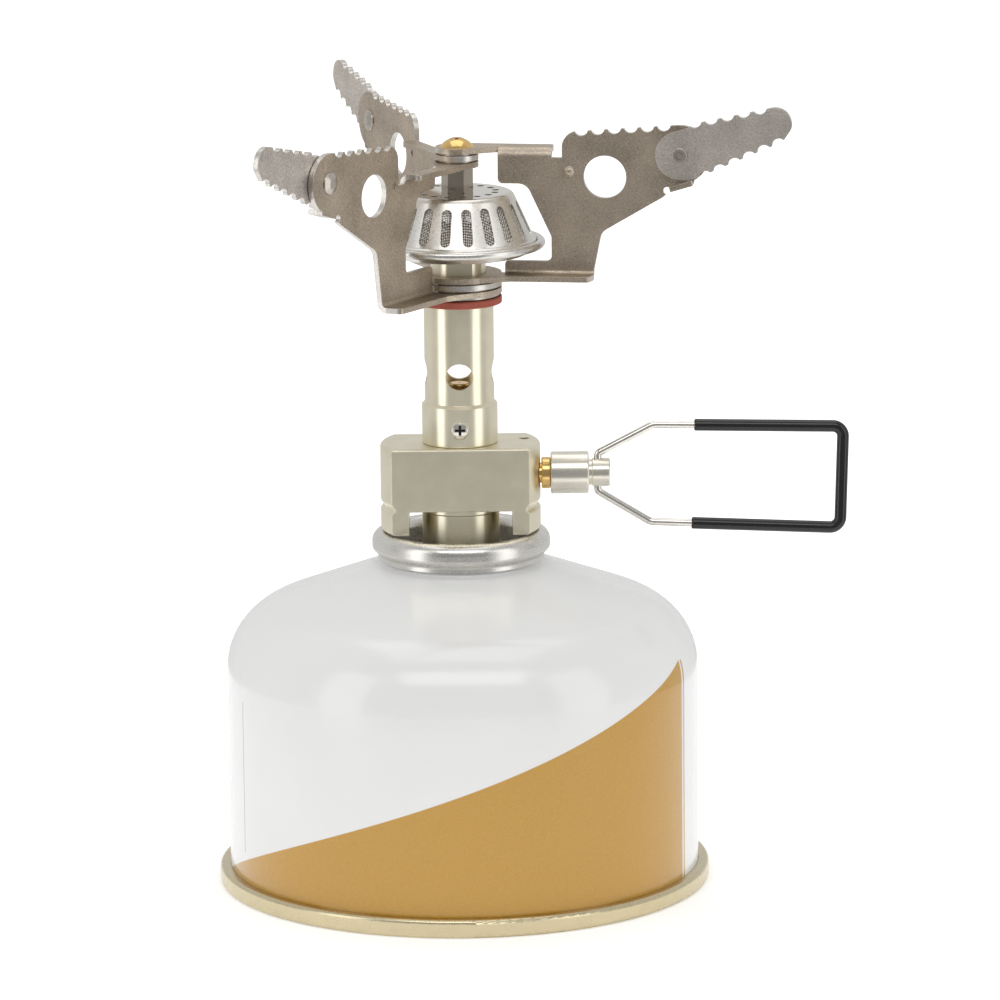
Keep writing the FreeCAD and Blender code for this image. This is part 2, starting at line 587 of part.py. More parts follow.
def column_washers():
    keep("fibre_washer", turned([
        (STEM_ROOM, TUBE_TOP), (FOOT_RING_RADIUS, TUBE_TOP, 0.2),
        (FOOT_RING_RADIUS, FIBRE_TOP, 0.2), (STEM_ROOM, FIBRE_TOP)]))
    dish = 0.25
    keep("wave_washer", turned([
        (STEM_ROOM, FIBRE_TOP), (FOOT_RING_RADIUS - 0.4, FIBRE_TOP + dish),
        (FOOT_RING_RADIUS - 0.4, FIBRE_TOP + WAVE_THICK),
        (STEM_ROOM, FIBRE_TOP + WAVE_THICK - dish)]))
    thin = [ring(STEM_ROOM, FOOT_RING_RADIUS - 0.9,
                 FIRST_RING + SHEET + RING_STEP * level + FACE_ROOM,
                 FIRST_RING + RING_STEP * (level + 1) - FACE_ROOM) for level in range(2)]
    keep("ring_washers", *thin)


# ---------------------------------------------------------------- burner head
LIP_CENTRE = LIP_RADIUS - LIP_SECTION
PAN_SHEET = 0.5
PAN_EDGE = LIP_CENTRE - 1.6


def burner_base():
    pan = turned(strip([
        (STEM_NECK + SEATED, STEM_TOP), (PAN_EDGE - 1.0, STEM_TOP, 0.8),
        (LIP_CENTRE, LIP_HEIGHT - 0.3)], PAN_SHEET))
    lip = Part.makeTorus(LIP_CENTRE, LIP_SECTION, vec(0, 0, LIP_HEIGHT))
    keep("burner_base", pan.fuse(lip).removeSplitter())


def cone_radius(height):
    """Outer radius of the burner cap's cone at a height."""
    foot = LIP_HEIGHT + LIP_SECTION + 0.2
    share = (height - foot) / (CAP_TOP - foot)
    return CAP_FOOT_RADIUS + (CAP_TOP_RADIUS - CAP_FOOT_RADIUS) * share


def flame_slots(width, low, high):
    """Upright slots with round ends, cut outwards through the cone."""
    half = width / 2
    slots = []
    for index in range(FLAME_SLOT_COUNT):
        slot = Part.makeBox(10, width, high - low - width, vec(8, -half, low + half))
        for height in (low + half, high - half):
            slot = slot.fuse(Part.makeCylinder(half, 10, vec(8, 0, height), vec(1, 0, 0)))
        slots.append(round_z(slot, -100 + 360.0 * index / FLAME_SLOT_COUNT))
    return slots


def burner_cap():
    flare = LIP_CENTRE - LIP_SECTION - 0.02
    foot = LIP_HEIGHT + LIP_SECTION + 0.2
    path = [(flare, LIP_HEIGHT + 0.3), (flare, foot - 0.3, 0.25), (CAP_FOOT_RADIUS, foot, 0.3),
            (CAP_TOP_RADIUS, CAP_TOP, 1.3), (1.6, CAP_TOP)]
    cap = turned(strip(path, CAP_SHEET))
    cuts = flame_slots(FLAME_SLOT_WIDTH, 119.8, 126.2)
    for index in range(TOP_HOLE_COUNT):
        turn = math.radians(8 + 360.0 * index / TOP_HOLE_COUNT)
        cuts.append(cylinder(TOP_HOLE_RADIUS, CAP_TOP - 1, CAP_TOP + 1,
                             TOP_HOLE_RING * math.cos(turn), TOP_HOLE_RING * math.sin(turn)))
    keep("burner_cap", cap.cut(cuts[0].multiFuse(cuts[1:])))


def flame_mesh():
    """Wire mesh lining behind the slots, kept as one thin cone."""
    inset = CAP_SHEET + 0.12
    low = 119.6
    high = CAP_TOP - CAP_SHEET - 0.6
    path = [(cone_radius(low) - inset, low), (cone_radius(high) - inset, high, 0.4),
            (4.0, high)]
    keep("flame_mesh", turned(strip(path, 0.25)))


SCREW_SHANK = 1.5
BRIDGE_THICK = 1.6


def burner_fixing():
    """Bridge in the stem, hex standoff, thin washers and the brass top screw."""
    bridge_top = STEM_TOP + 1.4
    bridge = ring(SCREW_SHANK + SEATED, 2.6, bridge_top - BRIDGE_THICK, bridge_top)
    bar = slab(-STEM_BORE, STEM_BORE, -0.9, 0.9, bridge_top - BRIDGE_THICK, bridge_top)
    bar = bar.common(cylinder(STEM_BORE - FACE_ROOM, bridge_top - BRIDGE_THICK, bridge_top))
    hole = cylinder(SCREW_SHANK + SEATED, bridge_top - 3, bridge_top + 1)
    keep("burner_bridge", bridge.fuse(bar.cut(hole)).removeSplitter())
    hexed = round_z(hexagon(STANDOFF_FLATS, CAP_TOP, STANDOFF_TOP), STANDOFF_TURN)
    rounding = turned([(0, CAP_TOP), (2.95, CAP_TOP, 0.3), (2.95, STANDOFF_TOP, 0.3),
                       (0, STANDOFF_TOP)])
    stud = cylinder(SCREW_SHANK, bridge_top - BRIDGE_THICK, CAP_TOP + 1)
    bore = cylinder(SCREW_SHANK + SEATED, STANDOFF_TOP - 2.6, STANDOFF_TOP + 1)
    keep("burner_standoff", hexed.common(rounding).fuse(stud).cut(bore).removeSplitter())
    first_top = FIRST_RING + ARM_HEIGHT
    lowest = ring(SCREW_SHANK + RUNNING, 2.9, STANDOFF_TOP + FACE_ROOM / 2,
                  first_top - SHEET - FACE_ROOM)
    others = [ring(SCREW_SHANK + RUNNING, 3.3, first_top + RING_STEP * level + FACE_ROOM,
                   first_top + RING_STEP * level + RING_GAP - FACE_ROOM) for level in range(2)]
    keep("top_washers", lowest, *others)
    head_low = KEYED_RING + ARM_HEIGHT
    dome = ball(3.72, 0, 0, head_low - 2.1).common(
        cylinder(TOP_SCREW_RADIUS, head_low, head_low + 3))
    shank = cylinder(SCREW_SHANK, STANDOFF_TOP - 2.4, head_low + 0.2)
    recess = cross_recess(0.8, 1.2, 0.3, head_low + 1.62)
    keep("top_screw", dome.fuse(shank).cut(recess).removeSplitter())


# ---------------------------------------------------------------- pot support arms
FACE_RIGHT = FACE_LEFT - SHEET
CREST_START = (24.19, 139.22)
CREST_RISE = 0.2              # how much each tooth stands above the one before
SCALLOP_RADIUS = 1.27
SCALLOP_DEPTH = 0.85
LUG_START = (38.8, 129.5)
LUG_END = (42.8, 130.68)
LUG_REACH = -2.9
LEAF_TIP = (58.2, 141.3, 2.9)


def arm_web(name):
    """Flat upright part of an arm, seen from its side as (radius, height) corners."""
    bottom = FIRST_RING + RING_STEP * ARM_STACK[name]
    top = bottom + ARM_HEIGHT
    lug_run = vec(LUG_END[0] - LUG_START[0], 0, LUG_END[1] - LUG_START[1]).normalize()
    lug_drop = (lug_run.z * SHEET, -lug_run.x * SHEET)
    eye_x, eye_z = RIVET_PLACE
    crest_line = CREST_RISE / TOOTH_PITCH
    shoulder = CREST_START[1] - crest_line * (CREST_START[0] - 19.2)
    corners = [
        (FOOT_INNER, bottom + BEND_RADIUS), (FOOT_INNER, 115.3, 0.6), (17.2, 115.3, 1.0),
        (17.2, 119.8, 0.5), (12.7, 129.45, 2.4), (7.5, 129.45, 0.9),
        (TAB_INNER, top - BEND_RADIUS), (TAB_OUTER, top - BEND_RADIUS),
        (19.2, top - BEND_RADIUS), (19.2, shoulder, 2.9),
        (eye_x - EYE_RADIUS * crest_line, eye_z + EYE_RADIUS), (eye_x + 3.0, eye_z - 3.0),
        (LUG_END[0] + 0.4, LUG_END[1]), (LUG_END[0] + lug_drop[0], LUG_END[1] + lug_drop[1]),
        (LUG_START[0] + lug_drop[0], LUG_START[1] + lug_drop[1]),
        (37.4, 127.2, 0.3), (26.3, 120.7, 2.5), (FOOT_OUTER, bottom + BEND_RADIUS)]
    web = face_from(corners)
    web.translate(vec(0, FACE_RIGHT, 0))
    eye = Part.makeCylinder(EYE_RADIUS, SHEET, vec(eye_x, FACE_RIGHT, eye_z), vec(0, 1, 0))
    return web.extrude(vec(0, SHEET, 0)).fuse(eye)


def across(radius, x, z):
    """Cutter along the sheet's thickness direction."""
    return Part.makeCylinder(radius, 20, vec(x, -10, z), vec(0, 1, 0))


def bend(side, start, end, level, upward):
    """Quarter bend along the radius, from the web to a tab that lies flat."""
    near = FACE_RIGHT if side > 0 else FACE_LEFT
    middle_y = near + side * BEND_RADIUS
    middle_z = level - BEND_RADIUS if upward else level + BEND_RADIUS
    tube = Part.makeCylinder(BEND_RADIUS, end - start, vec(start, middle_y, middle_z), vec(1, 0, 0))
    tube = tube.cut(Part.makeCylinder(BEND_RADIUS - SHEET, end - start,
                                      vec(start, middle_y, middle_z), vec(1, 0, 0)))
    y0 = min(middle_y, near)
    z0 = middle_z if upward else level
    return tube.common(slab(start, end, y0, y0 + BEND_RADIUS, z0, z0 + BEND_RADIUS))


def flat_lug(outline, low):
    """Flat tab of sheet thickness from a plan outline of (x, y, rounding) corners."""
    face = face_from(outline)
    face.rotate(vec(0, 0, 0), vec(1, 0, 0), -90)
    face.translate(vec(0, 0, low))
    return face.extrude(vec(0, 0, SHEET))


def plan(corners, side):
    """Plan corners for a tab on one side of the web, mirrored for the other side."""
    return [(corner[0], side * corner[1]) + tuple(corner[2:]) for corner in corners]


def top_tab(top):
    start = FACE_RIGHT + BEND_RADIUS
    strap = flat_lug(plan([
        (0, -TOP_RING_RADIUS + 0.1), (1.4, -TOP_RING_RADIUS + 0.2), (TAB_INNER, start - 1.2),
        (TAB_INNER, start), (TAB_OUTER, start), (TAB_OUTER, TAB_REACH, 0.8),
        (0, TOP_RING_RADIUS - 0.05)], 1), top - SHEET)
    eye = cylinder(TOP_RING_RADIUS, top - SHEET, top)
    return strap.fuse(eye)


def foot_tab(name, bottom):
    side = FOOT_SIDE[name]
    near = FACE_RIGHT if side > 0 else FACE_LEFT
    start = abs(near + side * BEND_RADIUS)
    strap = flat_lug(plan([
        (0, -FOOT_RING_RADIUS * 0.2), (FOOT_INNER, -FACE_LEFT * 0.5), (FOOT_INNER, start),
        (FOOT_OUTER, start), (FOOT_OUTER - 0.6, TAB_REACH + 0.5, 1.0),
        (FOOT_INNER + 1.2, TAB_REACH + 0.5, 2.0), (2.0, FOOT_RING_RADIUS - 0.35)], side), bottom)
    return strap.fuse(cylinder(FOOT_RING_RADIUS, bottom, bottom + SHEET))


def stop_lug():
    """Lug bent off the lower edge; the unfolded leaf rests on it."""
    run = vec(LUG_END[0] - LUG_START[0], 0, LUG_END[1] - LUG_START[1])
    length = run.Length
    lug = Part.makeBox(length, FACE_RIGHT + 0.5 - LUG_REACH, SHEET,
                       vec(LUG_START[0], LUG_REACH, LUG_START[1] - SHEET))
    tilt = math.degrees(math.atan2(run.z, run.x))
    lug.rotate(vec(LUG_START[0], 0, LUG_START[1]), vec(0, -1, 0), tilt)
    return lug


def arm_plate(name):
    level = ARM_STACK[name]
    bottom = FIRST_RING + RING_STEP * level
    top = bottom + ARM_HEIGHT
    side = FOOT_SIDE[name]
    plate = arm_web(name)
    plate = plate.fuse([bend(1, TAB_INNER, TAB_OUTER, top, True), top_tab(top),
                        bend(side, FOOT_INNER, FOOT_OUTER, bottom, False),
                        foot_tab(name, bottom), stop_lug()])
    scallops = []
    for index in range(TOOTH_COUNT):
        x = CREST_START[0] + TOOTH_PITCH * (index - 0.5)
        z = CREST_START[1] + CREST_RISE * (index - 0.5) + SCALLOP_RADIUS - SCALLOP_DEPTH
        scallops.append(across(SCALLOP_RADIUS, x, z))
    hole_x, hole_z, hole_radius = LIGHTENING_HOLE
    cuts = scallops + [
        across(hole_radius, hole_x, hole_z), across(RIVET_RADIUS + FACE_ROOM, *RIVET_PLACE),
        across(0.75, LUG_START[0] - 0.5, LUG_START[1] - SHEET - 0.1),
        across(0.85, 18.25, top - BEND_RADIUS + 0.85),
        cylinder(SCREW_SHANK + RUNNING, top - 2, top + 1)]
    bore = cylinder(STEM_ROOM, bottom - 1, bottom + 2)
    if name == "a":
        bore = flatted(bore, STEM_FLAT + SEATED, bottom - 2, bottom + 3,
                       STEM_TURN - ARM_ANGLES[name])
    plate = plate.cut(cuts[0].multiFuse(cuts[1:] + [bore]))
    bump_x, bump_z = DETENT_PLACE
    reach = 0.5
    curve = (DETENT_RADIUS ** 2 + reach ** 2) / (2 * reach)
    bump = ball(curve, bump_x, FACE_RIGHT - reach + curve, bump_z)
    bump = bump.common(slab(bump_x - 2, bump_x + 2, FACE_RIGHT - 1, FACE_RIGHT + 0.3,
                            bump_z - 2, bump_z + 2))
    hollow = Part.makeCylinder(DETENT_PUNCH, SHEET, vec(bump_x, FACE_LEFT - reach, bump_z),
                               vec(0, 1, 0))
    plate = plate.cut(hollow).fuse(bump)
    return plate.removeSplitter()


def leaf():
    """Folding end of an arm with teeth on both edges, lying on the web's right face."""
    eye_x, eye_z = RIVET_PLACE
    tip_x, tip_z, tip_radius = LEAF_TIP
    upper = (44.78, 141.17)
    upper_slope = 0.216
    lower = (46.13, 131.88)
    lower_slope = 0.449
    corners = [
        (eye_x - LEAF_EYE_RADIUS * 0.3, eye_z + LEAF_EYE_RADIUS * 0.95),
        (42.3, 140.1, 0.5), (43.3, upper[1] - upper_slope * 1.48, 0.4),
        (60.2, upper[1] + upper_slope * 15.42, tip_radius), (61.1, 140.4, 2.2),
        (59.3, lower[1] + lower_slope * 13.17, 0.8), (44.3, 131.22, 0.6), (41.95, 130.5, 0.2),
        (eye_x, eye_z - LEAF_EYE_RADIUS), (eye_x - 1, eye_z)]
    blade = face_from(corners)
    left = FACE_RIGHT - LEAF_GAP
    blade.translate(vec(0, left - SHEET, 0))
    blade = blade.extrude(vec(0, SHEET, 0))
    eye = Part.makeCylinder(LEAF_EYE_RADIUS, SHEET, vec(eye_x, left - SHEET, eye_z), vec(0, 1, 0))
    blade = blade.fuse(eye)
    upper_step = (2.935, 0.64)
    lower_step = (2.65, 1.21)
    cuts = []
    for index in range(5):
        cuts.append(across(SCALLOP_RADIUS, 43.35 + upper_step[0] * index,
                           140.11 + SCALLOP_RADIUS + upper_step[1] * index))
    for index in range(6):
        cuts.append(across(SCALLOP_RADIUS, 45.4 + lower_step[0] * index,
                           132.2 - SCALLOP_RADIUS + 0.12 + lower_step[1] * index))
    cuts.append(across(RIVET_RADIUS + SEATED, eye_x, eye_z))
    blade = blade.cut(cuts[0].multiFuse(cuts[1:]))
    return blade.removeSplitter()


def rivet():
    """Domed head on the web's left face, hollow tail over the leaf."""
    eye_x, eye_z = RIVET_PLACE
    tail_face = FACE_RIGHT - LEAF_GAP - SHEET
    body = turned([(0, tail_face - 0.4), (0.55, tail_face - 0.4), (0.55, tail_face - 0.1),
                   (0.7, tail_face - 0.1), (0.7, tail_face - 0.42), (1.3, tail_face - 0.42, 0.15),
                   (1.45, tail_face - FACE_ROOM), (RIVET_RADIUS, tail_face - FACE_ROOM),
                   (RIVET_RADIUS, FACE_LEFT), (2.0, FACE_LEFT), (2.0, FACE_LEFT + 0.25, 0.2),
                   (0.9, FACE_LEFT + 0.8, 0.8), (0, FACE_LEFT + 0.82)])
    body.rotate(vec(0, 0, 0), vec(1, 0, 0), -90)
    body.translate(vec(eye_x, 0, eye_z))
    return body


def arms():
    for name, angle in ARM_ANGLES.items():
        keep("arm_%s_plate" % name, round_z(arm_plate(name), angle))
        keep("arm_%s_leaf" % name, round_z(leaf(), angle))
        keep("arm_%s_rivet" % name, round_z(rivet(), angle))


# ---------------------------------------------------------------- build and write
def build():
    canister_shell()
    canister_base()
    valve_cup()
    canister_valve()
    valve_block()
    canister_socket()
    inlet_parts()
    gland_nut()
    needle_spindle()
    control_knob()
    handle()
    mixing_tube()
    collar_screws()
    jet_parts()
    burner_stem()
    column_washers()
    burner_base()
    burner_cap()
    flame_mesh()
    burner_fixing()
    arms()


def write():
    os.makedirs("parts", exist_ok=True)
    for name, shape in NODES.items():
        shape.exportStep(os.path.join("parts", name + ".step"))
        solids = len(shape.Solids)
        print("%-18s solids %d valid %s volume %.2f" % (name, solids, shape.isValid(), shape.Volume))


build()
write()
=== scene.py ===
"""Canister stove: finishes, woven flame mesh, printed canister, studio light and camera.

Every length is in metres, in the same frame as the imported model: the origin is the centre
of the canister's base, +Z is up and +X runs towards the wire handle.
"""
import math

import bmesh
import bpy
from mathutils import Matrix, Vector


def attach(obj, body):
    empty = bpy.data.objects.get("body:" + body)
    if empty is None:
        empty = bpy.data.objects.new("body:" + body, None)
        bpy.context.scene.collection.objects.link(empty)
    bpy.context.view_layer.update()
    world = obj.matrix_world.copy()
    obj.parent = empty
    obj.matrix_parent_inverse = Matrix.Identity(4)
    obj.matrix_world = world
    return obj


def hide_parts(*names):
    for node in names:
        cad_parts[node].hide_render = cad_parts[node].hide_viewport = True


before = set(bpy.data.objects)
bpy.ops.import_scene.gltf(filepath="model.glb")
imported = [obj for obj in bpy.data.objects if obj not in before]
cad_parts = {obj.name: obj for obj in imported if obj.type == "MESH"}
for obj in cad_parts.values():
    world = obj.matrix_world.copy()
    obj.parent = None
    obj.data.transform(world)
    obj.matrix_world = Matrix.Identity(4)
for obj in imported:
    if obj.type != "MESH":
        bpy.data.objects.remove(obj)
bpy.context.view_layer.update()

MM = 0.001
ARM_ANGLES = {"a": -8.0, "b": 113.1, "c": 236.2}


# ---------------------------------------------------------------- node helpers
class Surface:
    """One node material; its methods add nodes and return their output sockets."""

    def __init__(self, name, colour, metallic, roughness):
        self.material = bpy.data.materials.new(name)
        self.material.use_nodes = True
        self.tree = self.material.node_tree
        self.shader = self.tree.nodes["Principled BSDF"]
        self.set("Base Color", (*colour, 1.0))
        self.set("Metallic", metallic)
        self.set("Roughness", roughness)
        coordinates = self.tree.nodes.new("ShaderNodeTexCoord")
        self.place = coordinates.outputs["Object"]
        self.normal = coordinates.outputs["Normal"]

    def set(self, socket, value):
        """Set or link one input of the shader."""
        self.feed(self.shader.inputs[socket], value)

    def feed(self, socket, value):
        if isinstance(value, bpy.types.NodeSocket):
            self.tree.links.new(value, socket)
        else:
            socket.default_value = value

    def math(self, operation, first, second=0.0, third=0.0, clamp=False):
        node = self.tree.nodes.new("ShaderNodeMath")
        node.operation = operation
        node.use_clamp = clamp
        for socket, value in zip(node.inputs, (first, second, third)):
            self.feed(socket, value)
        return node.outputs[0]

    def parts(self, vector):
        """The X, Y and Z of a vector."""
        node = self.tree.nodes.new("ShaderNodeSeparateXYZ")
        self.feed(node.inputs[0], vector)
        return node.outputs

    def join(self, x, y, z):
        node = self.tree.nodes.new("ShaderNodeCombineXYZ")
        for socket, value in zip(node.inputs, (x, y, z)):
            self.feed(socket, value)
        return node.outputs[0]

    def dot(self, vector, direction):
        node = self.tree.nodes.new("ShaderNodeVectorMath")
        node.operation = "DOT_PRODUCT"
        self.feed(node.inputs[0], vector)
        node.inputs[1].default_value = direction
        return node.outputs["Value"]

    def stretch(self, vector, factors):
        node = self.tree.nodes.new("ShaderNodeVectorMath")
        node.operation = "MULTIPLY"
        self.feed(node.inputs[0], vector)
        node.inputs[1].default_value = factors
        return node.outputs[0]

    def noise(self, size, detail=2.0, vector=None, roughness=0.5):
        """Noise whose features are about this many metres across."""
        node = self.tree.nodes.new("ShaderNodeTexNoise")
        node.inputs["Scale"].default_value = 1.0 / size
        node.inputs["Detail"].default_value = detail
        node.inputs["Roughness"].default_value = roughness
        self.feed(node.inputs["Vector"], self.place if vector is None else vector)
        return node.outputs["Fac"]

    def cells(self, size, vector=None):
        """Distance to the nearest of scattered points about this many metres apart."""
        node = self.tree.nodes.new("ShaderNodeTexVoronoi")
        node.inputs["Scale"].default_value = 1.0 / size
        self.feed(node.inputs["Vector"], self.place if vector is None else vector)
        return node.outputs["Distance"]

    def ramp(self, value, low, high, from_value=0.0, to_value=1.0):
        """Linear change between two limits, held flat outside them."""
        node = self.tree.nodes.new("ShaderNodeMapRange")
        for socket, number in zip(node.inputs, (value, low, high, from_value, to_value)):
            self.feed(socket, number)
        return node.outputs[0]

    def mix(self, share, first, second):
        node = self.tree.nodes.new("ShaderNodeMix")
        node.data_type = "RGBA"
        self.feed(node.inputs["Factor"], share)
        for name, value in (("A", first), ("B", second)):
            socket = [s for s in node.inputs if s.name == name and s.type == "RGBA"][0]
            self.feed(socket, value if isinstance(value, bpy.types.NodeSocket) else (*value, 1.0))
        return [s for s in node.outputs if s.type == "RGBA"][0]

    def band(self, value, centre, half):
        """1 inside a narrow band round a value, 0 outside it."""
        distance = self.math("ABSOLUTE", self.math("SUBTRACT", value, centre))
        return self.ramp(distance, half * 0.8, half, 1.0, 0.0)

    def between(self, share, first, second):
        """Number between two others."""
        return self.math("MULTIPLY_ADD", share, self.math("SUBTRACT", second, first), first)

    def vector(self, operation, first, second):
        node = self.tree.nodes.new("ShaderNodeVectorMath")
        node.operation = operation
        self.feed(node.inputs[0], first)
        self.feed(node.inputs[1], second)
        return node.outputs[0]

    def turned_gloss(self, axis, centre, amount):
        """Gloss stretched along the profile of a turned piece, as lathe marks do."""
        from_axis = self.vector("SUBTRACT", self.place, centre)
        around = self.vector("CROSS_PRODUCT", axis, from_axis)
        along = self.vector("CROSS_PRODUCT", self.normal, around)
        turn = self.tree.nodes.new("ShaderNodeVectorTransform")
        turn.vector_type = "VECTOR"
        turn.convert_from = "OBJECT"
        turn.convert_to = "WORLD"
        self.feed(turn.inputs[0], along)
        self.set("Tangent", turn.outputs[0])
        self.set("Anisotropic", amount)

    def bump(self, height, depth, strength=1.0, edge_radius=0.0):
        """Relief this many metres deep; sharp edges can be shaded as if broken."""
        node = self.tree.nodes.new("ShaderNodeBump")
        node.inputs["Strength"].default_value = strength
        node.inputs["Distance"].default_value = depth
        self.feed(node.inputs["Height"], height)
        if edge_radius:
            bevel = self.tree.nodes.new("ShaderNodeBevel")
            bevel.samples = 6
            bevel.inputs["Radius"].default_value = edge_radius
            self.feed(node.inputs["Normal"], bevel.outputs[0])
        self.set("Normal", node.outputs[0])


def shade(colour, factor):
    return tuple(min(1.0, channel * factor) for channel in colour)


# ---------------------------------------------------------------- materials
CHAMPAGNE = (0.82, 0.765, 0.60)
KNOB_CHAMPAGNE = (0.80, 0.765, 0.67)
STANDOFF_STEEL = (0.40, 0.35, 0.29)
TITANIUM = (0.46, 0.39, 0.31)
TITANIUM_PALE = (0.60, 0.55, 0.50)
SHEARED_EDGE = (0.66, 0.63, 0.59)
STAINLESS = (0.70, 0.68, 0.64)
WASHER_STEEL = (0.52, 0.48, 0.43)
BRASS = (0.82, 0.55, 0.21)
NICKEL = (0.78, 0.75, 0.70)
TIN = (0.72, 0.70, 0.66)
SEAM_LACQUER = (0.64, 0.56, 0.37)
ENAMEL_WHITE = (0.82, 0.82, 0.81)
OCHRE = (0.53, 0.29, 0.042)


def turned_lines(surface, axis, pitch):
    """Fine lines left by a lathe or mill, which vary only along one axis."""
    x, y, z = surface.parts(surface.place)
    along = {"x": x, "y": y, "z": z}[axis]
    return surface.noise(pitch, 3.0, surface.join(along, 0.0, 0.0), 0.7)


AXES = {"x": (1.0, 0.0, 0.0), "z": (0.0, 0.0, 1.0)}
SPINDLE_CENTRE = (0.0, 0.0, 75.6 * MM)


def anodised(name, colour, axis, stretch, gloss=0.24, line_depth=0.004 * MM,
             edge_radius=0.12 * MM):
    """Champagne anodised aluminium with faint tool lines."""
    surface = Surface(name, colour, 1.0, gloss)
    if stretch:
        surface.turned_gloss(AXES[axis], SPINDLE_CENTRE if axis == "x" else (0, 0, 0), stretch)
    lines = turned_lines(surface, axis, 0.16 * MM)
    blotches = surface.noise(4 * MM, 3.0)
    grain = surface.noise(0.10 * MM, 2.0)
    tone = surface.math("ADD", surface.math("MULTIPLY", lines, 0.5),
                        surface.math("MULTIPLY", blotches, 0.5))
    surface.set("Base Color", surface.mix(surface.ramp(tone, 0.3, 0.7),
                                          shade(colour, 0.90), shade(colour, 1.08)))
    surface.set("Roughness", surface.ramp(surface.math("ADD", lines, grain),
                                          0.6, 1.4, gloss, gloss + 0.14))
    surface.bump(surface.math("ADD", lines, surface.math("MULTIPLY", grain, 0.5)), line_depth, 0.6,
                 edge_radius)
    return surface.material


HUB_REACH = 25.0 * MM         # the folded tabs of an arm lie within this distance
TOP_TAB_LOW = 130.5 * MM      # height above which an arm's top tab lies
TOP_TAB_END = 17.6 * MM
FOOT_TAB_HIGH = 113.4 * MM    # height below which its foot tab lies


def blasted_titanium(name, colour, arm):
    """Bead-blasted sheet that sparkles, with paler sheared edges; one per arm."""
    surface = Surface(name, colour, 1.0, 0.36)
    angle = math.radians(ARM_ANGLES[arm])
    across = surface.math("ABSOLUTE", surface.dot(surface.normal,
                                                  (-math.sin(angle), math.cos(angle), 0.0)))
    upward = surface.math("ABSOLUTE", surface.dot(surface.normal, (0.0, 0.0, 1.0)))
    x, y, z = surface.parts(surface.place)
    radial = surface.dot(surface.place, (math.cos(angle), math.sin(angle), 0.0))
    near_hub = surface.math("LESS_THAN", radial, HUB_REACH)
    high_tab = surface.math("MULTIPLY", surface.math("GREATER_THAN", z, TOP_TAB_LOW),
                            surface.math("LESS_THAN", radial, TOP_TAB_END))
    low_tab = surface.math("LESS_THAN", z, FOOT_TAB_HIGH)
    tabs = surface.math("MULTIPLY", near_hub, surface.math("MAXIMUM", high_tab, low_tab))
    flat = surface.math("MAXIMUM", across, surface.math("MULTIPLY", upward, tabs))
    edge = surface.ramp(flat, 0.45, 0.75, 1.0, 0.0)
    grain = surface.noise(0.26 * MM, 2.0, None, 0.75)
    specks = surface.ramp(surface.cells(0.30 * MM), 0.05, 0.42, 1.0, 0.0)
    cloud = surface.noise(6 * MM, 4.0)
    tone = surface.ramp(surface.math("ADD", surface.math("MULTIPLY", grain, 0.7),
                                     surface.math("MULTIPLY", cloud, 0.3)), 0.32, 0.68)
    face = surface.mix(tone, shade(colour, 0.60), shade(colour, 1.45))
    surface.set("Base Color", surface.mix(edge, face, SHEARED_EDGE))
    rough = surface.ramp(surface.math("ADD", grain, surface.math("MULTIPLY", specks, 0.3)),
                         0.35, 0.95, 0.50, 0.30)
    surface.set("Roughness", surface.math("SUBTRACT", rough, surface.math("MULTIPLY", edge, 0.12)))
    surface.bump(surface.math("ADD", grain, surface.math("MULTIPLY", specks, 0.5)),
                 0.022 * MM, 0.8, 0.15 * MM)
    return surface.material


def satin_metal(name, colour, low, high, grain_size, depth):
    """Plain metal whose grain changes its gloss and catches the light."""
    surface = Surface(name, colour, 1.0, low)
    grain = surface.noise(grain_size, 3.0, None, 0.6)
    cloud = surface.noise(5 * MM, 3.0)
    tone = surface.math("ADD", surface.math("MULTIPLY", grain, 0.4),
                        surface.math("MULTIPLY", cloud, 0.6))
    surface.set("Base Color", surface.mix(surface.ramp(tone, 0.3, 0.7),
                                          shade(colour, 0.88), shade(colour, 1.08)))
    surface.set("Roughness", surface.ramp(tone, 0.3, 0.7, low, high))
    surface.bump(grain, depth, 0.6)
    return surface.material


def polished(name, colour, roughness, axis):
    """Bright turned or drawn metal with hairline marks."""
    surface = Surface(name, colour, 1.0, roughness)
    lines = turned_lines(surface, axis, 0.12 * MM)
    cloud = surface.noise(2.5 * MM, 2.0)
    surface.set("Base Color", surface.mix(surface.ramp(cloud, 0.3, 0.7),
                                          shade(colour, 0.92), shade(colour, 1.05)))
    surface.set("Roughness", surface.ramp(lines, 0.3, 0.7, roughness, roughness + 0.10))
    surface.bump(lines, 0.003 * MM, 0.4)
    return surface.material


CAP_FLAT_LOW = 127.3 * MM     # the cap's flat top lies above this height
TINT_START = 123.0 * MM       # heights between which the heat tint grows
TINT_END = 127.5 * MM
HEAT_TINT = (0.74, 0.66, 0.54)


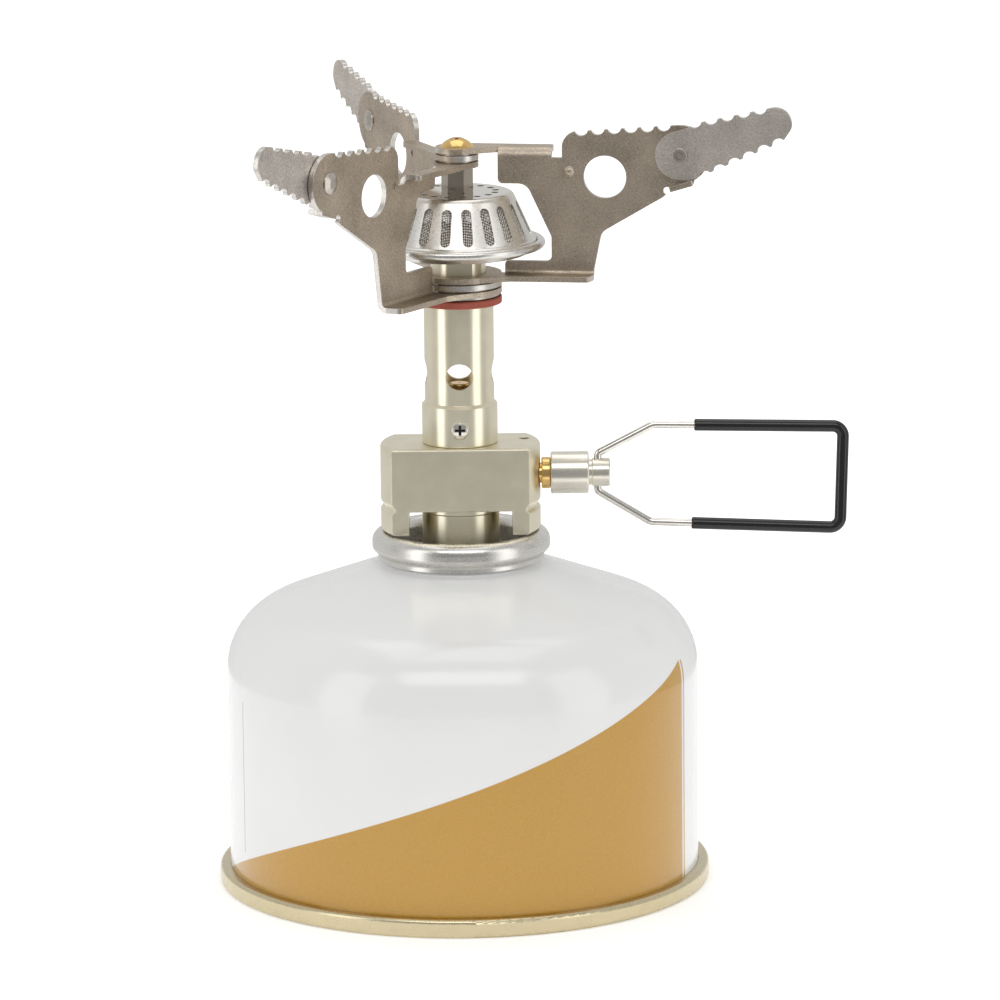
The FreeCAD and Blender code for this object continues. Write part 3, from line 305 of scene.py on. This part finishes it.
def burner_steel():
    """Satin spun steel cone with a mirror-like flat top and a hint of heat tint."""
    surface = Surface("burner_steel", STAINLESS, 1.0, 0.3)
    upward = surface.dot(surface.normal, (0.0, 0.0, 1.0))
    x, y, z = surface.parts(surface.place)
    top = surface.math("MULTIPLY", surface.ramp(upward, 0.90, 0.985),
                       surface.math("GREATER_THAN", z, CAP_FLAT_LOW))
    lines = turned_lines(surface, "z", 0.10 * MM)
    grain = surface.noise(0.5 * MM, 4.0)
    tone = surface.math("ADD", surface.math("MULTIPLY", lines, 0.4),
                        surface.math("MULTIPLY", grain, 0.6))
    steel = surface.mix(surface.ramp(tone, 0.3, 0.7), shade(STAINLESS, 0.88), shade(STAINLESS, 1.1))
    tint = surface.math("MULTIPLY", surface.ramp(z, TINT_START, TINT_END), 0.25)
    steel = surface.mix(tint, steel, HEAT_TINT)
    surface.set("Base Color", steel)
    satin = surface.ramp(tone, 0.3, 0.7, 0.24, 0.36)
    surface.set("Roughness", surface.between(top, satin, 0.07))
    surface.bump(surface.math("MULTIPLY", tone, surface.math("SUBTRACT", 1.0, top)),
                 0.003 * MM, 0.4)
    return surface.material


SCREW_HEIGHT = 84.9 * MM
SCREW_DOME = 3.2 * MM         # radius of the screws' domed heads
SCREW_DOME_CENTRE = 3.6 * MM  # how far the dome's centre lies from the column's axis
# Near-black colour of the painted shade in the screws' driver recesses.
RECESS_PAINTED_SHADE = (0.07, 0.065, 0.06)


def screw_nickel():
    """Bright domed screw whose driver recess, the part below the dome, is painted dark as shade."""
    surface = Surface("screw_nickel", NICKEL, 1.0, 0.2)
    x, y, z = surface.parts(surface.place)
    above = surface.math("SUBTRACT", z, SCREW_HEIGHT)
    off_axis = surface.math("ADD", surface.math("MULTIPLY", x, x),
                            surface.math("MULTIPLY", above, above))
    inside = surface.math("MAXIMUM", surface.math("SUBTRACT", SCREW_DOME ** 2, off_axis), 0.0)
    dome = surface.math("ADD", surface.math("SQRT", inside), SCREW_DOME_CENTRE)
    depth = surface.math("SUBTRACT", dome, surface.math("ABSOLUTE", y))
    recess = surface.ramp(depth, 0.03 * MM, 0.10 * MM)
    grain = surface.ramp(surface.noise(0.25 * MM, 2.0), 0.3, 0.7)
    bright = surface.mix(grain, shade(NICKEL, 0.92), shade(NICKEL, 1.05))
    # Painted shade: the recess below the dome is coloured near black for the shade inside it.
    surface.set("Base Color", surface.mix(recess, bright, RECESS_PAINTED_SHADE))
    surface.set("Roughness", surface.between(recess, surface.between(grain, 0.16, 0.24), 0.5))
    surface.bump(grain, 0.003 * MM, 0.4)
    return surface.material


# Print on the shell.  Azimuths are degrees from the front, rising towards the handle.
BORDER_HEIGHT = 25.9 * MM     # top of the ochre field at the front
BORDER_CLIMB = 0.272 * MM     # its rise per degree
BORDER_BLUR = 0.06 * MM
FIELD_LEFT = -104.0
FIELD_RIGHT = 67.0
FIELD_BLUR = 0.1
PANEL_LEFT = 68.2             # the two gold lines of the white panel at the right
PANEL_RIGHT = 85.0
PANEL_LINE = 0.45
PANEL_TOP = 44.0 * MM
RULE_AZIMUTH = -68.0          # thin rule at the left
RULE_LINE = 0.16
RULE_FOOT = 9.0 * MM
RULE_HEAD = 37.0 * MM
RULE_GREY = (0.30, 0.30, 0.30)


def canister_enamel():
    """Gloss white enamel with a plain ochre field that climbs round the can."""
    surface = Surface("canister_enamel", ENAMEL_WHITE, 0.0, 0.22)
    x, y, z = surface.parts(surface.place)
    turn = surface.math("ARCTAN2", x, surface.math("MULTIPLY", y, -1.0))
    degrees = surface.math("MULTIPLY", turn, 180.0 / math.pi)
    border = surface.math("MULTIPLY_ADD", degrees, BORDER_CLIMB, BORDER_HEIGHT)
    below = surface.ramp(surface.math("SUBTRACT", border, z), -BORDER_BLUR, BORDER_BLUR)
    left_of_panel = surface.ramp(degrees, FIELD_RIGHT - FIELD_BLUR, FIELD_RIGHT + FIELD_BLUR,
                                 1.0, 0.0)
    right_of_seam = surface.ramp(degrees, FIELD_LEFT - FIELD_BLUR, FIELD_LEFT + FIELD_BLUR)
    field = surface.math("MULTIPLY", below, surface.math("MULTIPLY", left_of_panel, right_of_seam))
    panel_sides = surface.math("MAXIMUM", surface.band(degrees, PANEL_LEFT, PANEL_LINE),
                               surface.band(degrees, PANEL_RIGHT, PANEL_LINE))
    panel_line = surface.math("MULTIPLY", panel_sides, surface.math("LESS_THAN", z, PANEL_TOP))
    mottle = surface.noise(0.35 * MM, 2.0)
    cloud = surface.noise(14 * MM, 2.0)
    white = surface.mix(surface.ramp(cloud, 0.3, 0.7), shade(ENAMEL_WHITE, 0.985), ENAMEL_WHITE)
    ochre = surface.mix(surface.ramp(mottle, 0.3, 0.7), shade(OCHRE, 0.93), shade(OCHRE, 1.05))
    ink = surface.math("MAXIMUM", field, panel_line)
    rule_span = surface.math("MULTIPLY", surface.math("GREATER_THAN", z, RULE_FOOT),
                             surface.math("LESS_THAN", z, RULE_HEAD))
    rule = surface.math("MULTIPLY", surface.band(degrees, RULE_AZIMUTH, RULE_LINE), rule_span)
    printed = surface.mix(ink, white, ochre)
    surface.set("Base Color", surface.mix(rule, printed, RULE_GREY))
    peel = surface.noise(1.6 * MM, 2.0)
    scuffs = surface.ramp(surface.noise(0.5 * MM, 4.0, surface.stretch(surface.place, (1, 1, 9))),
                          0.62, 0.80)
    surface.set("Roughness", surface.math("ADD", surface.ramp(peel, 0.3, 0.7, 0.16, 0.24),
                                          surface.math("MULTIPLY", scuffs, 0.10)))
    surface.set("Coat Weight", 0.35)
    surface.set("Coat Roughness", 0.08)
    surface.bump(peel, 0.010 * MM, 0.25)
    return surface.material


def seam_lacquer():
    """Gold-lacquered tinplate of the bottom seam with drawn lines round it."""
    surface = Surface("seam_lacquer", SEAM_LACQUER, 1.0, 0.3)
    lines = turned_lines(surface, "z", 0.10 * MM)
    cloud = surface.noise(3 * MM, 4.0)
    tone = surface.math("ADD", surface.math("MULTIPLY", lines, 0.45),
                        surface.math("MULTIPLY", cloud, 0.55))
    surface.set("Base Color", surface.mix(surface.ramp(tone, 0.32, 0.68),
                                          shade(SEAM_LACQUER, 0.95), shade(SEAM_LACQUER, 1.05)))
    surface.set("Roughness", surface.ramp(tone, 0.3, 0.7, 0.24, 0.32))
    surface.bump(lines, 0.002 * MM, 0.5)
    return surface.material


def moulded(name, colour, roughness, grain_size, depth):
    """Rubber, acetal or other plain moulding with a fine skin."""
    surface = Surface(name, colour, 0.0, roughness)
    grain = surface.noise(grain_size, 3.0)
    surface.set("Base Color", surface.mix(surface.ramp(grain, 0.3, 0.7),
                                          shade(colour, 0.8), shade(colour, 1.2)))
    surface.set("Roughness", surface.ramp(grain, 0.3, 0.7, roughness * 0.85, roughness * 1.15))
    surface.bump(grain, depth, 0.5)
    return surface.material


def dipped_vinyl():
    """Glossy black sleeve, slightly uneven along its length."""
    surface = Surface("dipped_vinyl", (0.010, 0.010, 0.011), 0.0, 0.18)
    waves = surface.noise(2.6 * MM, 1.5)
    dust = surface.ramp(surface.noise(0.12 * MM, 2.0), 0.66, 0.80)
    surface.set("Base Color", surface.mix(dust, (0.010, 0.010, 0.011), (0.05, 0.05, 0.05)))
    surface.set("Roughness", surface.ramp(waves, 0.3, 0.7, 0.10, 0.18))
    surface.bump(waves, 0.05 * MM, 0.4)
    return surface.material


def pressed_fibre():
    """Vulcanised red fibre with short strands."""
    red = (0.36, 0.085, 0.055)
    surface = Surface("pressed_fibre", red, 0.0, 0.8)
    strands = surface.noise(0.25 * MM, 4.0, surface.stretch(surface.place, (1, 1, 3)), 0.7)
    surface.set("Base Color", surface.mix(surface.ramp(strands, 0.3, 0.7),
                                          shade(red, 0.7), shade(red, 1.45)))
    surface.set("Roughness", surface.ramp(strands, 0.3, 0.7, 0.65, 0.9))
    surface.bump(strands, 0.06 * MM, 1.0)
    return surface.material


def rolled_tin():
    """Tinplate of the cup, streaked round by the rolling of its edge."""
    surface = Surface("tin_plate", TIN, 1.0, 0.26)
    streaks = surface.noise(0.35 * MM, 4.0, surface.stretch(surface.place, (1, 1, 5)), 0.65)
    cloud = surface.noise(5 * MM, 3.0)
    tone = surface.math("ADD", surface.math("MULTIPLY", streaks, 0.6),
                        surface.math("MULTIPLY", cloud, 0.4))
    surface.set("Base Color", surface.mix(surface.ramp(tone, 0.3, 0.7),
                                          shade(TIN, 0.84), shade(TIN, 1.10)))
    surface.set("Roughness", surface.ramp(tone, 0.3, 0.7, 0.20, 0.36))
    surface.bump(streaks, 0.010 * MM, 0.6)
    return surface.material


def dress(material, *nodes):
    """Give CAD nodes one material in every slot."""
    for name in nodes:
        mesh_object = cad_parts[name]
        slots = mesh_object.material_slots
        if not slots:
            mesh_object.data.materials.append(material)
        for slot in slots:
            slot.material = material


def dress_all():
    dress(canister_enamel(), "canister_shell")
    dress(seam_lacquer(), "canister_base")
    dress(rolled_tin(), "valve_cup")
    dress(anodised("champagne_milled", CHAMPAGNE, "z", 0.0, 0.27, 0.010 * MM, 0.35 * MM),
          "valve_block")
    dress(anodised("champagne_turned", CHAMPAGNE, "z", 0.75, 0.26),
          "canister_socket", "mixing_tube", "burner_stem")
    dress(anodised("champagne_knob", KNOB_CHAMPAGNE, "x", 0.6), "control_knob")
    dress(polished("brass_x", BRASS, 0.14, "x"), "gland_nut", "needle_spindle")
    dress(polished("brass_z", BRASS, 0.13, "z"), "push_pin", "jet_holder", "jet", "top_screw")
    dress(moulded("sintered_bronze", (0.35, 0.22, 0.11), 0.6, 0.15 * MM, 0.03 * MM), "inlet_filter")
    dress(screw_nickel(), "collar_screws")
    # Painted shade: the gland pin is coloured near black to stand for the shaded hole it sits in.
    dress(satin_metal("gland_hole_painted_shade", (0.09, 0.08, 0.07), 0.4, 0.5, 0.2 * MM, 0.004 * MM), "gland_pin")
    dress(polished("standoff_steel", STANDOFF_STEEL, 0.10, "z"), "burner_standoff")
    dress(polished("drawn_wire", NICKEL, 0.10, "x"), "handle_wire")
    dress(dipped_vinyl(), "handle_sleeve")
    dress(pressed_fibre(), "fibre_washer")
    dress(burner_steel(), "burner_cap", "burner_base")
    dress(satin_metal("washer_steel", WASHER_STEEL, 0.22, 0.36, 0.2 * MM, 0.005 * MM),
          "wave_washer", "ring_washers", "top_washers", "burner_bridge",
          "valve_spring", "arm_a_rivet", "arm_b_rivet", "arm_c_rivet")
    dress(moulded("black_rubber", (0.014, 0.014, 0.014), 0.45, 0.2 * MM, 0.01 * MM),
          "socket_o_ring", "spindle_o_ring", "valve_gasket")
    dress(moulded("white_acetal", (0.75, 0.75, 0.72), 0.4, 0.8 * MM, 0.004 * MM),
          "valve_housing", "valve_pin")
    for arm in ARM_ANGLES:
        dress(blasted_titanium("titanium_" + arm, TITANIUM, arm), "arm_%s_plate" % arm)
        dress(blasted_titanium("leaf_titanium_" + arm, TITANIUM_PALE, arm), "arm_%s_leaf" % arm)


# ---------------------------------------------------------------- woven flame mesh
MESH_LOW = (13.35 * MM, 119.6 * MM)      # radius and height of the mesh cone's foot
MESH_HIGH = (9.75 * MM, 126.9 * MM)
MESH_PITCH = 0.50 * MM
MESH_WIRE = 0.11 * MM


def sheet_radius():
    """Outer radius of the flat sheet whose opening fits the cone's top."""
    return MESH_HIGH[0] + (Vector(MESH_LOW) - Vector(MESH_HIGH)).length


def mesh_point(sheet_x, sheet_y, lift):
    """Where this point of the flat sheet lies on the cone, and the cone's outward direction."""
    low, high = Vector(MESH_LOW), Vector(MESH_HIGH)
    slope = (low - high).normalized()
    reach = math.hypot(sheet_x, sheet_y)
    angle = math.atan2(sheet_y, sheet_x)
    flat = high + slope * (reach - high.x)
    radial = Vector((math.cos(angle), math.sin(angle), 0))
    out = Vector((radial.x * -slope.y, radial.y * -slope.y, slope.x))
    centre = Vector((radial.x * flat.x, radial.y * flat.x, flat.y)) + out * lift
    return centre, out


def mesh_runs(across, turned):
    """Points along one straight wire of the sheet, cut where the sheet's opening is."""
    inner = MESH_HIGH[0]
    outer = sheet_radius()
    half_steps = int(outer / MESH_PITCH) * 2
    run = []
    for half in range(-half_steps, half_steps + 1):
        along = half * MESH_PITCH / 2
        crossing = half // 2 + across
        lift = 0.0 if half % 2 else MESH_WIRE * 0.9 * (1 if crossing % 2 == turned else -1)
        place = (across * MESH_PITCH, along)
        if turned:
            place = (place[1], place[0])
        if inner <= math.hypot(*place) <= outer:
            run.append(mesh_point(*place, lift))
        elif run:
            yield run
            run = []
    if run:
        yield run


def woven_mesh():
    """Square weave of two families of wires that pass over and under each other."""
    mesh = bmesh.new()
    wires = int(sheet_radius() / MESH_PITCH)
    for turned in (0, 1):
        for across in range(-wires, wires + 1):
            for run in mesh_runs(across, turned):
                if len(run) < 2:
                    continue
                ring_before = None
                for index, (centre, out) in enumerate(run):
                    ahead = run[min(index + 1, len(run) - 1)][0] - run[max(index - 1, 0)][0]
                    side = ahead.cross(out).normalized()
                    ring = []
                    for corner in range(4):
                        turn = math.pi * (corner + 0.5) / 2
                        offset = side * math.cos(turn) + out * math.sin(turn)
                        ring.append(mesh.verts.new(centre + offset * MESH_WIRE))
                    if ring_before:
                        for corner in range(4):
                            following = (corner + 1) % 4
                            mesh.faces.new((ring_before[corner], ring_before[following],
                                            ring[following], ring[corner]))
                    else:
                        mesh.faces.new(ring[::-1])
                    ring_before = ring
                mesh.faces.new(ring_before)
    data = bpy.data.meshes.new("woven_flame_mesh")
    mesh.to_mesh(data)
    mesh.free()
    for polygon in data.polygons:
        polygon.use_smooth = True
    piece = bpy.data.objects.new("woven_flame_mesh", data)
    bpy.context.scene.collection.objects.link(piece)
    piece.data.materials.append(satin_metal("mesh_wire", (0.70, 0.66, 0.60), 0.25, 0.38,
                                            0.1 * MM, 0.002 * MM))
    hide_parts("flame_mesh")
    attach(piece, "stove")
    return piece


# ---------------------------------------------------------------- studio
CAMERA_PLACE = (0.0, -1.3032, 0.34685)
CAMERA_YAW = 0.315            # degrees to the right of straight ahead
CAMERA_PITCH = 11.969         # degrees down
CAMERA_ROLL = -0.58
CAMERA_LENS = 262.67


def studio_camera():
    data = bpy.data.cameras.new("camera")
    data.lens = CAMERA_LENS
    data.sensor_width = 36.0
    data.clip_start = 0.05
    camera = bpy.data.objects.new("camera", data)
    bpy.context.scene.collection.objects.link(camera)
    yaw = math.radians(CAMERA_YAW)
    pitch = math.radians(CAMERA_PITCH)
    roll = math.radians(CAMERA_ROLL)
    ahead = Vector((math.sin(yaw) * math.cos(pitch), math.cos(yaw) * math.cos(pitch),
                    -math.sin(pitch)))
    level = ahead.cross(Vector((0, 0, 1))).normalized()
    upright = level.cross(ahead)
    right = level * math.cos(roll) + upright * math.sin(roll)
    up = upright * math.cos(roll) - level * math.sin(roll)
    turn = Matrix((right, up, -ahead)).transposed()
    camera.matrix_world = Matrix.Translation(CAMERA_PLACE) @ turn.to_4x4()
    bpy.context.scene.camera = camera


TABLE_RADIUS = 0.20
FLOOR_DROP = 0.0004           # the wide floor lies this far below the round table top


def soft_light(name, place, target, width, height, radiance):
    """Rectangular soft box that the camera doesn't see, set by its brightness."""
    data = bpy.data.lights.new(name, "AREA")
    data.shape = "RECTANGLE"
    data.size = width
    data.size_y = height
    data.energy = radiance * math.pi * width * height
    lamp = bpy.data.objects.new(name, data)
    bpy.context.scene.collection.objects.link(lamp)
    lamp.location = place
    lamp.rotation_euler = (Vector(target) - Vector(place)).to_track_quat("-Z", "Y").to_euler()
    lamp.visible_camera = False


def white_card(name, glow):
    """Matt white board, lit a little from within so that it stays white."""
    surface = Surface(name, (0.93, 0.93, 0.93), 0.0, 0.9)
    surface.set("Emission Color", (1.0, 1.0, 1.0, 1.0))
    surface.set("Emission Strength", glow)
    return surface.material


def studio_floor():
    """Round white table top, and a wide white floor that only the camera sees."""
    bpy.ops.mesh.primitive_circle_add(vertices=96, radius=TABLE_RADIUS, fill_type="NGON")
    table = bpy.context.object
    table.name = "table_top"
    table.data.materials.append(white_card("table_white", 0.30))
    bpy.ops.mesh.primitive_plane_add(size=12.0, location=(0, 0, -FLOOR_DROP))
    floor = bpy.context.object
    floor.name = "floor"
    floor.data.materials.append(white_card("floor_white", 0.60))
    floor.visible_glossy = False
    floor.visible_diffuse = False
    floor.visible_shadow = False


ROOM_FRONT = 0.32             # brightness of the room behind the camera
ROOM_BACK = 0.70


def studio_world():
    """Grey room, darker on the side of the camera and white behind the table."""
    world = bpy.data.worlds.new("studio")
    world.use_nodes = True
    tree = world.node_tree
    background = tree.nodes["Background"]
    direction = tree.nodes.new("ShaderNodeTexCoord")
    parts = tree.nodes.new("ShaderNodeSeparateXYZ")
    tree.links.new(direction.outputs["Generated"], parts.inputs[0])
    level = tree.nodes.new("ShaderNodeMapRange")
    level.interpolation_type = "SMOOTHSTEP"
    tree.links.new(parts.outputs["Y"], level.inputs["Value"])
    for socket, value in (("From Min", -0.8), ("From Max", 0.5),
                          ("To Min", ROOM_FRONT), ("To Max", ROOM_BACK)):
        level.inputs[socket].default_value = value
    tree.links.new(level.outputs[0], background.inputs["Strength"])
    background.inputs["Color"].default_value = (1.0, 1.0, 1.0, 1.0)
    bpy.context.scene.world = world
    bpy.context.scene.view_settings.view_transform = "Standard"


def around(azimuth, elevation, distance, height=0.08):
    """Point round the object; azimuth 0 is towards the camera, 90 towards +X."""
    turn = math.radians(azimuth)
    lift = math.radians(elevation)
    flat = distance * math.cos(lift)
    return (flat * math.sin(turn), -flat * math.cos(turn), height + distance * math.sin(lift))


def studio_lights():
    middle = (0, 0, 0.08)
    soft_light("strip_left", around(-60, 5, 0.9), middle, 0.38, 1.3, 1.5)
    soft_light("strip_right", around(60, 5, 0.9), middle, 0.42, 1.3, 1.3)
    soft_light("overhead_front", around(0, 48, 0.9), middle, 0.9, 0.34, 2.3)
    soft_light("overhead", around(180, 80, 1.0), middle, 0.8, 0.8, 1.0)


studio_camera()
dress_all()
woven_mesh()
studio_floor()
studio_world()
studio_lights()
